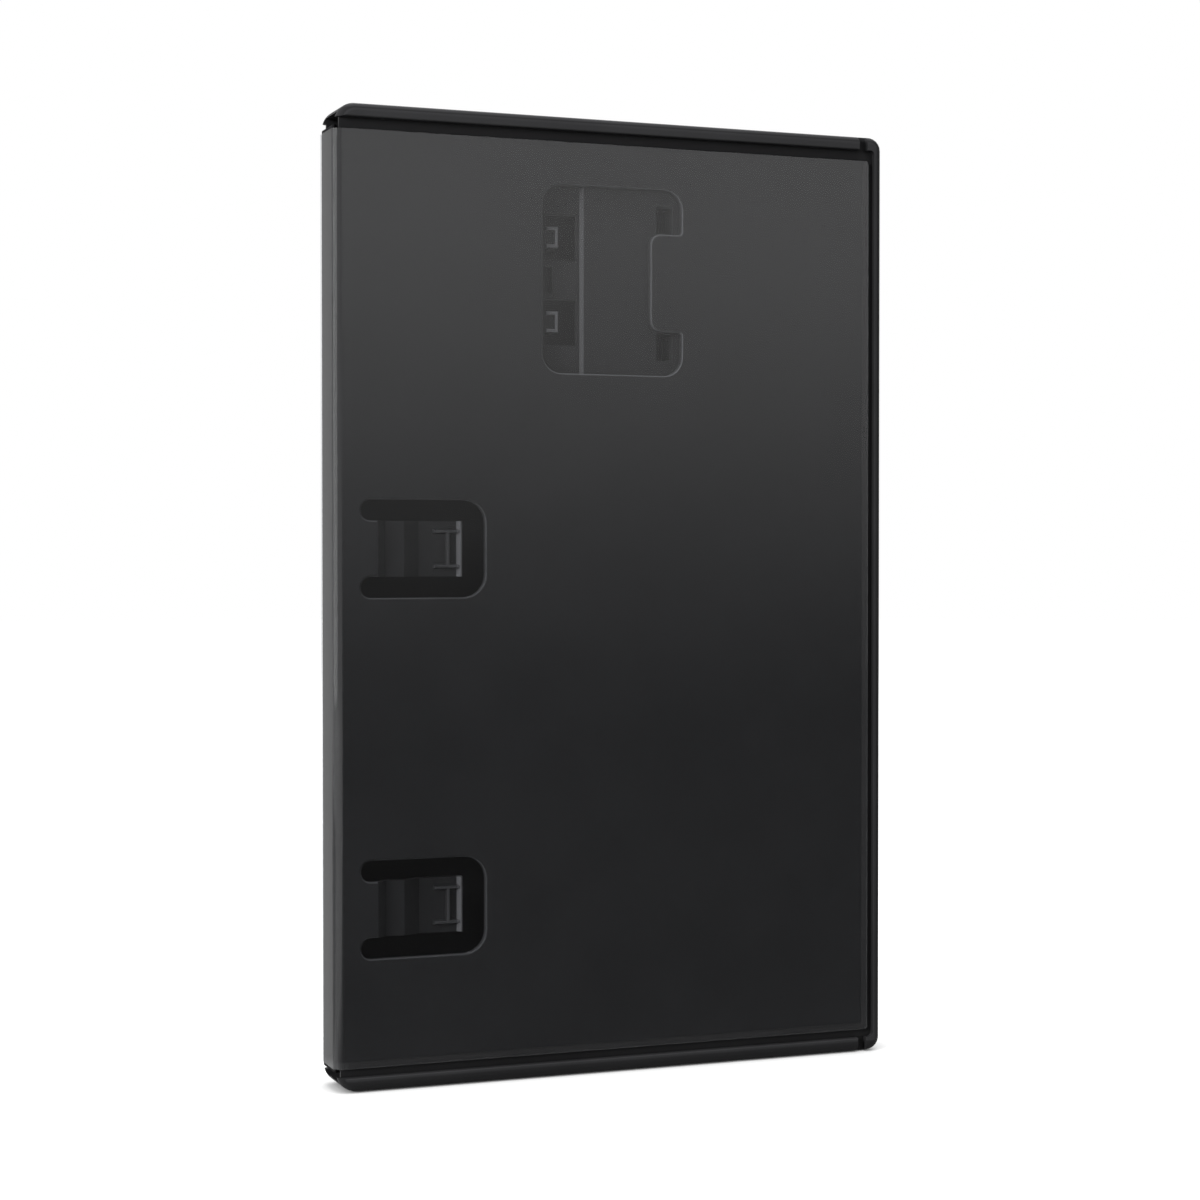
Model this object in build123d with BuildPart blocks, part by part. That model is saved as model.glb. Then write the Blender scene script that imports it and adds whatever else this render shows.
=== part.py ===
"""Slim hinged case for a small game card, with a clear film sleeve.

The case is one polypropylene moulding: a front cover, a spine and a back
cover that are joined by two living hinges. A clear film is wrapped round
the outside and welded to the covers. The case stands upright and closed:
X runs from the spine to the opening edge, the front cover faces -Y and the
origin is in the middle of the foot.
"""

import os
from math import pi

from build123d import *

# Overall size of the closed case
case_width = 105.0
case_height = 170.0
case_depth = 11.0

# Covers
panel = 1.1                # wall of the front and back panels
wall = 1.6                 # wall that runs round the inside of each cover
corner_round = 2.4         # corners at the opening edge, seen from the front
edge_round = 1.4           # outer edges of the border
border_height = 2.5        # raised border along the top and the foot
border_side = 1.6          # raised border along the opening edge
border_soft = 0.3          # inner edge of the top and foot borders
lip_inset = 0.5            # the borders end this far inside the spine
lip_round = 3.4            # ends of the borders, seen from the front
groove_depth = 0.5         # bare groove between the border and the film
groove_over = 0.5          # the groove's floor runs this far past the fold
slit_width = 1.7           # slit in the border near each outer corner
slit_inset = 3.0           # from the opening edge to the slit
slit_depth = 1.35
parting_gap = 0.1          # between the two closed covers

# Film sleeve
film = 0.15
film_room = 0.1            # room behind the film for a printed sheet
film_sunk = 0.4            # film lies this far below the border
film_top_inset = 4.5
film_foot_inset = 4.0
film_side_inset = 2.7
film_corner = 0.6
weld_width = 1.2

# Living hinges and spine
fold_radius = 1.7          # outside of the film where it turns the corner
web = 0.4                  # thickness of the hinge web
hinge_taper = 0.8          # run-out from the web to the full wall
spine_wall = 1.1
spine_over = 0.8           # the spine runs this far past the film
spine_round = 0.35         # ends of the spine

# Rim joint between the covers
rim_outer = 0.7            # outer lip on the front cover
rim_clear = 0.2
rim_height = 1.4
rim_lead = 2.6             # room at the rebate's end for the covers to swing
latch_bead = 0.32          # radius of the snap bead on the back cover
latch_clear = 0.18
latch_length = 14.0
latch_inset = 40.0         # from the top and the foot to each latch
thumb_length = 34.0
thumb_depth = 0.9
thumb_height = 1.7

# Booklet clips, spring tongues in open windows of the front panel
clip_spine_inset = 4.8
clip_window_length = 22.6
clip_window_height = 17.0
clip_slot = 3.65           # slot beside the tongue
clip_root = 2.9            # the slots run this far past the tongue's root
clip_corner = 4.0
clip_low_height = 31.2     # foot of the case to the middle of each clip
clip_high_height = 93.6
tongue_length = 16.0
tongue_wall = 1.0
tongue_step = 1.45         # drop of each of its two bends
root_slope = 1.8           # length of the bend next to the root
shelf_length = 3.4         # shelf between the bends
shelf_rise = 0.3           # the shelf and the landing rise towards the tip
tip_slope = 3.0            # length of the second bend
tongue_bend = 0.5          # radius of the bends
tip_lip = 0.55             # raised lip across the tip
tip_land = 0.35
tip_round = 0.15
pad_length = 5.0           # two ribs and a cross rib that press on the pages
pad_pitch = 6.1
pad_rib = 1.0
pad_cross_inset = 2.6
rib_draft = 20.0           # degrees, sides of the small ribs

# Card and its holder
card_width = 21.4
card_height = 31.1
card_thick = 3.3
card_clear = 0.2
holder_spine_inset = 38.1
holder_top_inset = 12.0
holder_width = 26.7
holder_height = 33.3
holder_corner = 3.5
holder_rise = 1.8          # card seat above the inside of the panel
holder_floor_depth = 1.3   # floor below the outside of the panel
holder_skirt = 1.1
strip_width = 7.6          # thin strip on the spine side
strip_wall = 0.7
riser_slope = 0.6          # bevel between the strip and the floor
finger_width = 17.5
finger_reach = 6.1
finger_corner = 2.0
finger_soft = 0.6
rail_wall = 1.0
rail_rise = 2.2
hook_height = 3.9
hook_pitch = 15.0
hook_window_width = 5.9
hook_window_height = 8.0
hook_window_inset = 1.2    # from the holder's spine side
hook_post = 1.2
hook_reach = 1.2
hook_wall = 0.8
hook_rib = 0.8             # rib round the end of each hook's arm
hook_rib_rise = 0.5
lip_post = 1.3
lip_reach = 1.0
lip_height = 4.2
lip_window_width = 3.2
lip_window_height = 4.8
lip_pitch = 22.8
slot_width = 1.3
slot_height = 4.6

edge_soft = 0.35           # softened edges of the openings in the panel

# Levels, measured from the middle plane between the covers
border_level = case_depth / 2
film_level = border_level - film_sunk
bed_level = film_level - film - film_room
inner_level = bed_level - panel
rim_level = parting_gap / 2
groove_level = bed_level - groove_depth
seat_level = inner_level - holder_rise
card_level = seat_level - card_thick

# Places across the case
spine_side = -case_width / 2
open_side = case_width / 2
fold_x = spine_side + fold_radius
fold_y = film_level - fold_radius
bed_radius = fold_radius - film - film_room
spine_bed = fold_x - bed_radius
lip_end = spine_side + lip_inset
film_side = open_side - film_side_inset
film_top = case_height - film_top_inset
film_run = film_top - film_foot_inset
border_top = case_height - border_height
slit_end = open_side - slit_inset
wall_start = fold_x + hinge_taper

# Axis of each living hinge: the one centre that carries the cover from
# closed to flat without stretching the middle of the web
web_radius = bed_radius - web / 2
axis_x = fold_x - web_radius * pi / 4
axis_y = fold_y + web_radius * pi / 4

os.makedirs("parts", exist_ok=True)

# Field inside the border and the part of it under the film
field_width = open_side - border_side - spine_side
field_height = border_top - border_height
with BuildSketch() as field:
    with Locations((spine_side, border_height)):
        Rectangle(field_width, field_height, align=(Align.MIN, Align.MIN))
    fillet(field.vertices().group_by(Axis.X)[-1], radius=corner_round - border_side)

with BuildSketch() as film_field:
    with Locations((fold_x, film_foot_inset)):
        Rectangle(film_side - fold_x, film_run, align=(Align.MIN, Align.MIN))
    fillet(film_field.vertices().group_by(Axis.X)[-1], radius=film_corner)

# Cover shell shared by both covers, drawn as the front one
with BuildPart() as cover_shell:
    with BuildSketch(Plane.XZ.offset(inner_level)) as slab:
        with Locations((lip_end, 0)):
            Rectangle(open_side - lip_end, case_height, align=(Align.MIN, Align.MIN))
        fillet(slab.vertices().group_by(Axis.X)[-1], radius=corner_round)
        fillet(slab.vertices().group_by(Axis.X)[0], radius=lip_round)
    extrude(amount=border_level - inner_level)
    outer_face = cover_shell.faces().sort_by(Axis.Y)[0]
    fillet(outer_face.edges(), radius=edge_round)

    # Wall round three sides
    with BuildSketch(Plane.XZ.offset(rim_level)) as walls:
        add(slab.sketch.faces())
        with BuildSketch(mode=Mode.SUBTRACT) as inside:
            with Locations((spine_side, wall)):
                Rectangle(
                    open_side - spine_side - wall,
                    case_height - 2 * wall,
                    align=(Align.MIN, Align.MIN),
                )
            fillet(inside.vertices().group_by(Axis.X)[-1], radius=corner_round - wall)
    extrude(amount=inner_level - rim_level)

    # Field for the film, and the bare groove round it
    with BuildSketch(Plane.XZ.offset(border_level)):
        add(field.sketch)
    extrude(amount=bed_level - border_level, mode=Mode.SUBTRACT)
    with BuildSketch(Plane.XZ.offset(bed_level)):
        add(field.sketch)
        add(film_field.sketch, mode=Mode.SUBTRACT)
    extrude(amount=-groove_depth, mode=Mode.SUBTRACT)

    # The borders run on past the fold as short lips over the spine's ends
    with BuildSketch(Plane.XZ):
        with Locations((spine_side, film_foot_inset)):
            Rectangle(fold_radius, film_run, align=(Align.MIN, Align.MIN))
        with Locations((spine_side, border_height)):
            Rectangle(
                fold_radius - groove_over, field_height, align=(Align.MIN, Align.MIN)
            )
    extrude(amount=border_level, mode=Mode.SUBTRACT)

    # Rounded inner edge of the top and foot borders
    with BuildSketch(Plane.YZ.offset(spine_side)):
        for edge_z, middle_z in (
            (border_height, border_height - border_soft),
            (border_top, border_top + border_soft),
        ):
            with Locations((-border_level, edge_z)):
                Rectangle(2 * border_soft, 2 * border_soft)
            with Locations((-border_level + border_soft, middle_z)):
                Circle(border_soft, mode=Mode.SUBTRACT)
    extrude(amount=slit_end - spine_side, mode=Mode.SUBTRACT)

    # The panel thins out towards the hinge web behind the film
    with BuildSketch(Plane.XY.offset(film_foot_inset)):
        with BuildLine():
            Polyline(
                (fold_x, -inner_level),
                (fold_x + hinge_taper, -inner_level),
                (fold_x, -bed_level + web),
                close=True,
            )
        make_face()
    extrude(amount=film_run, mode=Mode.SUBTRACT)

    # Slits that part the top and foot borders from the side border
    with BuildSketch(Plane.XZ.offset(border_level)):
        with Locations((slit_end, 0)):
            Rectangle(slit_width, border_height, align=(Align.MAX, Align.MIN))
        with Locations((slit_end, case_height)):
            Rectangle(slit_width, border_height, align=(Align.MAX, Align.MAX))
    extrude(amount=-slit_depth, mode=Mode.SUBTRACT)

    # Weld seam that carries the film along the opening edge and the foot
    with BuildSketch(Plane.XZ.offset(bed_level)):
        add(film_field.sketch)
        with Locations((fold_x, film_foot_inset + weld_width)):
            Rectangle(
                film_side - fold_x - weld_width,
                film_run,
                align=(Align.MIN, Align.MIN),
                mode=Mode.SUBTRACT,
            )
        with Locations((fold_x, film_foot_inset)):
            Rectangle(
                hinge_taper,
                weld_width,
                align=(Align.MIN, Align.MIN),
                mode=Mode.SUBTRACT,
            )
    extrude(amount=film_room)

# One clip window, round its own middle
with BuildSketch() as clip_window:
    Rectangle(clip_window_length, clip_window_height)
    fillet(clip_window.vertices().group_by(Axis.X)[-1], radius=clip_corner)
    with Locations((-clip_window_length / 2, 0)):
        Rectangle(
            clip_root,
            clip_window_height - 2 * clip_slot,
            align=(Align.MIN, Align.CENTER),
            mode=Mode.SUBTRACT,
        )
    fillet(clip_window.vertices().group_by(Axis.X)[0], radius=clip_slot * 0.48)

clip_start = spine_side + clip_spine_inset
clip_middle = clip_start + clip_window_length / 2
clip_places = [clip_low_height, clip_high_height]
tongue_width = clip_window_height - 2 * clip_slot
tongue_root = clip_start + clip_root
tongue_tip = tongue_root + tongue_length
shelf_start = tongue_root + root_slope
shelf_end = shelf_start + shelf_length
landing_start = shelf_end + tip_slope
landing_end = tongue_tip - tip_land - tip_lip
shelf_low = bed_level - tongue_step
shelf_high = shelf_low + shelf_rise
landing_low = shelf_high - tongue_step
landing_high = landing_low + shelf_rise

# Opening of the card holder, seen from outside
holder_start = spine_side + holder_spine_inset
holder_middle = holder_start + holder_width / 2
holder_end = holder_start + holder_width
holder_z = case_height - holder_top_inset - holder_height / 2
with BuildSketch() as holder_opening:
    with Locations((holder_middle, holder_z)):
        RectangleRounded(holder_width, holder_height, holder_corner)
    with BuildSketch(mode=Mode.SUBTRACT) as finger_well:
        with Locations((holder_end - finger_reach, holder_z)):
            Rectangle(
                finger_reach + holder_skirt,
                finger_width,
                align=(Align.MIN, Align.CENTER),
            )
        fillet(finger_well.vertices().group_by(Axis.X)[0], radius=finger_corner)
    well_corners = [
        v
        for v in holder_opening.vertices()
        if abs(v.X - holder_end) < 0.01 and abs(v.Y - holder_z) < finger_width * 0.51
    ]
    fillet(well_corners, radius=finger_soft)

strip_end = holder_start + strip_width
strip_level = seat_level + strip_wall
floor_level = bed_level - holder_floor_depth
hook_window_start = holder_start + hook_window_inset
card_end = holder_end - lip_post - card_clear
card_start = card_end - card_width
hook_face = card_start - card_clear
lip_face = card_end + card_clear
catch_level = card_level - card_clear / 2

# Front cover with the booklet clips and the card holder
with BuildPart() as front_cover:
    add(cover_shell.part)

    # Rebate in the rim that takes the tongue of the back cover
    with BuildSketch(Plane.XZ.offset(rim_level)) as rebate:
        with Locations((wall_start, rim_outer)):
            Rectangle(
                open_side - wall_start - rim_outer,
                case_height - 2 * rim_outer,
                align=(Align.MIN, Align.MIN),
            )
        fillet(rebate.vertices().group_by(Axis.X)[-1], radius=corner_round - rim_outer)
    extrude(amount=rim_height + rim_clear, mode=Mode.SUBTRACT)

    # Snap grooves in the lip along the opening edge
    bead_x = open_side - rim_outer - rim_clear
    for latch_z in (latch_inset, case_height - latch_inset):
        groove_length = latch_length + 2 * latch_clear
        with BuildSketch(Plane.XY.offset(latch_z - groove_length / 2)):
            with Locations((bead_x, -rim_level - rim_height / 2)):
                Circle(latch_bead + latch_clear)
        extrude(amount=groove_length, mode=Mode.SUBTRACT)

    # Windows and tongues of the booklet clips
    with BuildSketch(Plane.XZ.offset(bed_level)):
        with Locations(*[(clip_middle, z) for z in clip_places]):
            add(clip_window.sketch)
    extrude(amount=-panel, mode=Mode.SUBTRACT)
    window_edges = [
        e
        for e in front_cover.edges()
        if abs(e.center().Y + bed_level) < 0.01
        and clip_start - 0.1 < e.center().X < clip_start + clip_window_length + 0.1
        and abs(e.center().X - tongue_root) > 0.01
        and min(abs(e.center().Z - z) for z in clip_places) < clip_window_height
    ]
    fillet(window_edges, radius=edge_soft)
    for clip_z in clip_places:
        with BuildSketch(Plane.XY.offset(clip_z - tongue_width / 2)) as tongue:
            with BuildLine():
                Polyline(
                    (tongue_root, -bed_level),
                    (shelf_start, -shelf_low),
                    (shelf_end, -shelf_high),
                    (landing_start, -landing_low),
                    (landing_end, -landing_high),
                    (landing_end + tip_lip, -landing_high - tip_lip),
                    (tongue_tip, -landing_high - tip_lip),
                    (tongue_tip, -landing_high + tongue_wall),
                    (landing_start, -landing_low + tongue_wall),
                    (shelf_end, -shelf_high + tongue_wall),
                    (shelf_start, -shelf_low + tongue_wall),
                    (tongue_root, -inner_level),
                    close=True,
                )
            make_face()
            bends = tongue.vertices().filter_by_position(
                Axis.X, shelf_start, landing_start
            )
            fillet(bends, radius=tongue_bend)
            tip = tongue.vertices().filter_by_position(Axis.X, landing_end, tongue_tip)
            fillet(tip, radius=tip_round)
        extrude(amount=tongue_width)

        # Ribs near the tip that press on the pages
        pad_end = landing_end + tip_lip
        with BuildSketch(Plane.XZ.offset(landing_low)):
            with Locations(
                (pad_end, clip_z - pad_pitch / 2), (pad_end, clip_z + pad_pitch / 2)
            ):
                Rectangle(pad_length, pad_rib, align=(Align.MAX, Align.CENTER))
            with Locations((tongue_tip - pad_cross_inset, clip_z)):
                Rectangle(pad_rib, pad_pitch)
        extrude(amount=landing_high + tip_lip - landing_low, taper=rib_draft)

    # Card holder: a hollow seat that stands up inside the cover
    with BuildSketch(Plane.XZ.offset(seat_level)):
        add(holder_opening.sketch)
        offset(amount=holder_skirt)
    extrude(amount=holder_rise)
    with BuildSketch(Plane.XZ.offset(bed_level)):
        add(holder_opening.sketch)
    extrude(amount=-holder_floor_depth, mode=Mode.SUBTRACT)
    mouth_edges = [
        e
        for e in front_cover.edges()
        if abs(e.center().Y + bed_level) < 0.01
        and holder_start - 0.1 < e.center().X < holder_end + 0.1
        and abs(e.center().Z - holder_z) < holder_height / 2 + 0.1
    ]
    fillet(mouth_edges, radius=edge_soft)
    with BuildSketch(Plane.XZ.offset(bed_level)):
        add(holder_opening.sketch)
        with Locations((holder_start, holder_z)):
            Rectangle(
                strip_width,
                holder_height,
                align=(Align.MIN, Align.CENTER),
                mode=Mode.INTERSECT,
            )
    extrude(amount=strip_level - bed_level, mode=Mode.SUBTRACT)
    riser = [
        e
        for e in front_cover.edges().filter_by(Axis.Z)
        if abs(e.center().X - strip_end) < 0.01 and abs(e.center().Y + floor_level) < 0.01
    ]
    chamfer(riser, length=riser_slope)

    # Windows under the hooks and lips, and the small slot between the hooks
    with BuildSketch(Plane.XZ.offset(bed_level)):
        with Locations(
            (hook_window_start, holder_z + hook_pitch / 2),
            (hook_window_start, holder_z - hook_pitch / 2),
        ):
            Rectangle(
                hook_window_width, hook_window_height, align=(Align.MIN, Align.CENTER)
            )
        with Locations(
            (lip_face, holder_z + lip_pitch / 2),
            (lip_face, holder_z - lip_pitch / 2),
        ):
            Rectangle(
                lip_window_width, lip_window_height, align=(Align.MAX, Align.CENTER)
            )
        with Locations((hook_window_start, holder_z)):
            Rectangle(slot_width, slot_height, align=(Align.MIN, Align.CENTER))
    extrude(amount=seat_level - bed_level, mode=Mode.SUBTRACT)

    # Rails at both ends of the card
    with BuildSketch(Plane.XZ.offset(seat_level)):
        rail_z = card_height / 2 + card_clear
        with Locations((hook_face, holder_z + rail_z)):
            Rectangle(holder_end - hook_face, rail_wall, align=(Align.MIN, Align.MIN))
        with Locations((hook_face, holder_z - rail_z)):
            Rectangle(holder_end - hook_face, rail_wall, align=(Align.MIN, Align.MAX))
    extrude(amount=-rail_rise)

    # Hooks on the spine side, each on an arm that bridges its window
    for hook_z in (holder_z - hook_pitch / 2, holder_z + hook_pitch / 2):
        with BuildSketch(Plane.XY.offset(hook_z - hook_height / 2)):
            with BuildLine():
                Polyline(
                    (hook_window_start, -strip_level),
                    (hook_face, -strip_level),
                    (hook_face, -catch_level),
                    (hook_face + hook_reach, -catch_level),
                    (hook_face + hook_reach, -catch_level + hook_wall / 2),
                    (hook_face + hook_reach / 2, -catch_level + hook_wall),
                    (hook_face - hook_post, -catch_level + hook_wall),
                    (hook_face - hook_post, -seat_level),
                    (hook_window_start, -seat_level),
                    close=True,
                )
            make_face()
        extrude(amount=hook_height)
        arm_length = hook_face - hook_window_start
        with BuildSketch(Plane.XZ.offset(strip_level)):
            with Locations((hook_face, hook_z)):
                Rectangle(arm_length, hook_height, align=(Align.MAX, Align.CENTER))
            with Locations((hook_face - hook_rib, hook_z)):
                Rectangle(
                    arm_length,
                    hook_height - 2 * hook_rib,
                    align=(Align.MAX, Align.CENTER),
                    mode=Mode.SUBTRACT,
                )
        extrude(amount=hook_rib_rise, taper=rib_draft)

    # Snap lips at the two corners on the side of the finger well
    for lip_z in (holder_z - lip_pitch / 2, holder_z + lip_pitch / 2):
        with BuildSketch(Plane.XY.offset(lip_z - lip_height / 2)):
            with BuildLine():
                Polyline(
                    (lip_face, -seat_level),
                    (lip_face, -catch_level),
                    (lip_face - lip_reach, -catch_level),
                    (lip_face - lip_reach, -catch_level + hook_wall / 2),
                    (lip_face - lip_reach / 2, -catch_level + hook_wall),
                    (lip_face + lip_post, -catch_level + hook_wall),
                    (lip_face + lip_post, -seat_level),
                    close=True,
                )
            make_face()
        extrude(amount=lip_height)
front_cover.part.label = "front_cover"
export_step(front_cover.part, "parts/front_cover.step")

# Back cover: the same shell turned round, with the tongue of the rim joint
with BuildPart() as back_cover:
    add(mirror(cover_shell.part, about=Plane.XZ))
    with BuildSketch(Plane.XZ.offset(-rim_level)) as rim_tongue:
        tongue_inset = rim_outer + rim_clear
        rim_start = wall_start + rim_lead
        with Locations((rim_start, tongue_inset)):
            Rectangle(
                open_side - rim_start - tongue_inset,
                case_height - 2 * tongue_inset,
                align=(Align.MIN, Align.MIN),
            )
        fillet(
            rim_tongue.vertices().group_by(Axis.X)[-1],
            radius=corner_round - tongue_inset,
        )
        with BuildSketch(mode=Mode.SUBTRACT) as tongue_inside:
            with Locations((rim_start, wall)):
                Rectangle(
                    open_side - rim_start - wall,
                    case_height - 2 * wall,
                    align=(Align.MIN, Align.MIN),
                )
            fillet(
                tongue_inside.vertices().group_by(Axis.X)[-1],
                radius=corner_round - wall,
            )
    extrude(amount=rim_height + 2 * rim_level)

    # Snap beads on the tongue
    for latch_z in (latch_inset, case_height - latch_inset):
        with BuildSketch(Plane.XY.offset(latch_z - latch_length / 2)):
            with Locations((bead_x, -rim_level - rim_height / 2)):
                Circle(latch_bead)
        extrude(amount=latch_length)

    # Thumb scoop below the front cover's lip
    with BuildSketch(Plane.XZ.offset(-rim_level)):
        with Locations((open_side, case_height / 2)):
            Ellipse(thumb_depth, thumb_length / 2)
    extrude(amount=-thumb_height, mode=Mode.SUBTRACT)
back_cover.part.label = "back_cover"
export_step(back_cover.part, "parts/back_cover.step")

# Spine panel, which ends below the lips of the covers
with BuildPart() as spine:
    with BuildSketch(Plane.XY.offset(film_foot_inset - spine_over)):
        with BuildLine():
            Polyline(
                (spine_bed, -fold_y),
                (spine_bed + web, -fold_y),
                (spine_bed + spine_wall, -fold_y + hinge_taper),
                (spine_bed + spine_wall, fold_y - hinge_taper),
                (spine_bed + web, fold_y),
                (spine_bed, fold_y),
                close=True,
            )
        make_face()
    extrude(amount=film_run + 2 * spine_over)
    fillet(spine.edges().filter_by(Axis.Y).group_by(Axis.X)[0], radius=spine_round)
spine.part.label = "spine"
export_step(spine.part, "parts/spine.step")

# Hinge webs, each a quarter turn between the spine and a cover
with BuildPart() as front_hinge_web:
    with BuildSketch(Plane.XY.offset(film_foot_inset)):
        with Locations((fold_x, -fold_y)):
            Circle(bed_radius)
            Circle(bed_radius - web, mode=Mode.SUBTRACT)
            Rectangle(
                bed_radius,
                bed_radius,
                align=(Align.MAX, Align.MAX),
                mode=Mode.INTERSECT,
            )
    extrude(amount=film_run)
front_hinge_web.part.label = "front_hinge_web"
export_step(front_hinge_web.part, "parts/front_hinge_web.step")

with BuildPart() as back_hinge_web:
    add(mirror(front_hinge_web.part, about=Plane.XZ))
back_hinge_web.part.label = "back_hinge_web"
export_step(back_hinge_web.part, "parts/back_hinge_web.step")

# Film sleeve: a sheet on each cover and the turn round the spine
with BuildPart() as sleeve_front:
    with BuildSketch(Plane.XZ.offset(film_level - film)):
        add(film_field.sketch)
    extrude(amount=film)
sleeve_front.part.label = "sleeve_front"
export_step(sleeve_front.part, "parts/sleeve_front.step")

with BuildPart() as sleeve_back:
    add(mirror(sleeve_front.part, about=Plane.XZ))
sleeve_back.part.label = "sleeve_back"
export_step(sleeve_back.part, "parts/sleeve_back.step")

with BuildPart() as sleeve_spine:
    with BuildSketch(Plane.XY.offset(film_foot_inset)):
        with BuildLine():
            front_turn = CenterArc((fold_x, -fold_y), fold_radius - film / 2, 270, -90)
            back_turn = CenterArc((fold_x, fold_y), fold_radius - film / 2, 180, -90)
            Line(front_turn @ 1, back_turn @ 0)
        trace(line_width=film)
    extrude(amount=film_run)
sleeve_spine.part.label = "sleeve_spine"
export_step(sleeve_spine.part, "parts/sleeve_spine.step")
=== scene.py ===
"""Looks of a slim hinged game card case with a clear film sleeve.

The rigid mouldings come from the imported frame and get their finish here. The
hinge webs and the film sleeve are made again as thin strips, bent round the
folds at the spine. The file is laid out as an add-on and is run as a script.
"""

import math

import bmesh
import bpy
from bpy.props import FloatProperty, FloatVectorProperty, IntProperty, PointerProperty
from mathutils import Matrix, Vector


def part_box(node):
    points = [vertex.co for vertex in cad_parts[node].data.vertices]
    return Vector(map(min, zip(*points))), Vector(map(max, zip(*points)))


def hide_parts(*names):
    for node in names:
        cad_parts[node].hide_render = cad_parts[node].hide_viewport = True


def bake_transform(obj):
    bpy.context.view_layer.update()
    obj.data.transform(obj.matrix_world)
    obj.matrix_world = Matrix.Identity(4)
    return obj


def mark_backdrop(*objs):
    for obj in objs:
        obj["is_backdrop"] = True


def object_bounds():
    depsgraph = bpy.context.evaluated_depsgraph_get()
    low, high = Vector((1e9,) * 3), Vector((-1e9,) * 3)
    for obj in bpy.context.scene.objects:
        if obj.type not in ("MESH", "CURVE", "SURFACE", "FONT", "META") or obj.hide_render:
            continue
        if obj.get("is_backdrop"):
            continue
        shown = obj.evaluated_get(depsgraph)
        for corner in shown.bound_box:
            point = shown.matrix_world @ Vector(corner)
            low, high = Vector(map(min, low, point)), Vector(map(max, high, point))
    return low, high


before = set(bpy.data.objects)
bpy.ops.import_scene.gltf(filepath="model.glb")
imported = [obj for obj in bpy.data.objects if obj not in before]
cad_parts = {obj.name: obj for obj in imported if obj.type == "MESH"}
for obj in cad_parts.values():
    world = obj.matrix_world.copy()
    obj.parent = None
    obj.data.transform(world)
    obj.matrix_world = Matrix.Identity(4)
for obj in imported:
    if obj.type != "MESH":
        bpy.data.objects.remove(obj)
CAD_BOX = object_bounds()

bl_info = {
    "name": "Game card case",
    "version": (1, 0, 0),
    "blender": (4, 5, 0),
    "location": "View3D > Sidebar > Card Case",
    "description": "Finishes, film sleeve, hinge webs and stage of a hinged card case",
    "category": "Object",
}

MM = 0.001
FRAME_PIXELS = 1200
RIGID_NODES = ("front_cover", "back_cover", "spine")
FILM_MAP = "film_map"

# Places that the strips take from the frame
FRONT_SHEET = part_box("sleeve_front")
SPINE_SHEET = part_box("sleeve_spine")
FRONT_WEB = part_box("front_hinge_web")
FOLD_X = FRONT_SHEET[0].x
FOLD_Y = -FRONT_WEB[1].y
FILM_FOOT = FRONT_SHEET[0].z
FILM_TOP = FRONT_SHEET[1].z
FILM_END = FRONT_SHEET[1].x
FILM_THICK = FRONT_SHEET[1].y - FRONT_SHEET[0].y
FILM_FOLD = FOLD_X - SPINE_SHEET[0].x
WEB_FOLD = FOLD_X - FRONT_WEB[0].x

# Depths below the face of the border. A pair is the start and end of a soft change
FILM_ROOM = 0.63 * MM
TONGUE_SUNK = (0.75 * MM, 0.9 * MM)
INNER_EDGE = (1.6 * MM, 1.8 * MM)

# Painted sheen on the border and the top: depth below its face, depth below the top,
# height above the foot
SHEEN_FACE = (0.12 * MM, 0.02 * MM)
SHEEN_TOP = (1.0 * MM, 0.4 * MM)
SHEEN_FOOT = (1.6 * MM, 2.1 * MM)

# Places of the spring tongues of the front cover, which is all before FRONT_HALF
FRONT_HALF = -0.5 * MM
TONGUE_X = -36.4 * MM
TONGUE_HALF = 8.4 * MM
TONGUE_HEIGHTS = (31.2 * MM, 93.6 * MM)
TIP_X = -29.8 * MM

# Boxes round the ribs on the tongues and on the card hooks, where highlights are painted:
# (middle, half size)
PAD_BOXES = [
    (Vector((-32.6 * MM, -3.1 * MM, height)), Vector((2.8, 0.12, 4.2)) * MM)
    for height in TONGUE_HEIGHTS
]
RIB_BOX = (Vector((-12.0, -3.15, 141.35)) * MM, Vector((1.3, 0.15, 10.0)) * MM)

# Heights between the clips and the card holder, where the painted edge highlights change
HOLDER_START = (110.0 * MM, 120.0 * MM)

# Faces that count as edges for the painted highlights: how squarely they face front
# or back, and how far they lie from the fold
TILT_FLAT = (0.97, 0.9)
TILT_UPRIGHT = (0.2, 0.4)
FOLD_GAP = 1.5 * MM

# Clouds and grain of the plastic
NOISE_SPAN = (0.3, 0.7)
CLOUD_SIZE = 14.0 * MM
CLOUD_SHADE = (0.94, 1.06)
GRAIN_SHARE = 0.5
SPREAD_SPAN = (0.45, 1.05)
ROUGH_SPREAD = 0.04
PLASTIC_IOR = 1.49

# Film: its gloss away from the seam and on it, its haze and its cut edge
FILM_IOR = 1.5
FILM_ROUGHNESS = (0.05, 0.22)
RIPPLE_DETAIL = 1.0
SEAM_SOFT = 0.15 * MM
SEAM_HAZE = 0.012
HAZE_COLOUR = (0.5, 0.5, 0.52, 1.0)
CUT_COLOUR = (0.3, 0.3, 0.31, 1.0)
CUT_ROUGHNESS = 0.35
CUT_SPECK = 0.8 * MM
CUT_SHARE = (0.08, 0.2)
SHARP_ANGLE = math.radians(40.0)

# Floor: its paint as a light and as seen, its glow and the reach of its painted contact
# shadow
FLOOR_SIDES = 64
FLOOR_BELOW = 0.2 * MM
FLOOR_PALE = (0.3, 0.3, 0.3, 1.0)
FLOOR_SEEN = (0.2, 0.2, 0.2, 1.0)
FLOOR_GLOW = 0.99
PAINTED_SHADOW_REACH = 0.008
PAINTED_SHADOW_SAMPLES = 8

# Screens, glowing sheets that show only as painted reflections: heights of the dark and
# the light end, widths of the fading edges
SCREEN_SPAN = (-0.015, 0.33)
SCREEN_SIDE_FADE = 0.08
SCREEN_NEAR_FADE = 0.02
SCREEN_TOP_FADE = 0.1
SCREEN_BEND = 0.25
SCREEN_ROWS = 12

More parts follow.
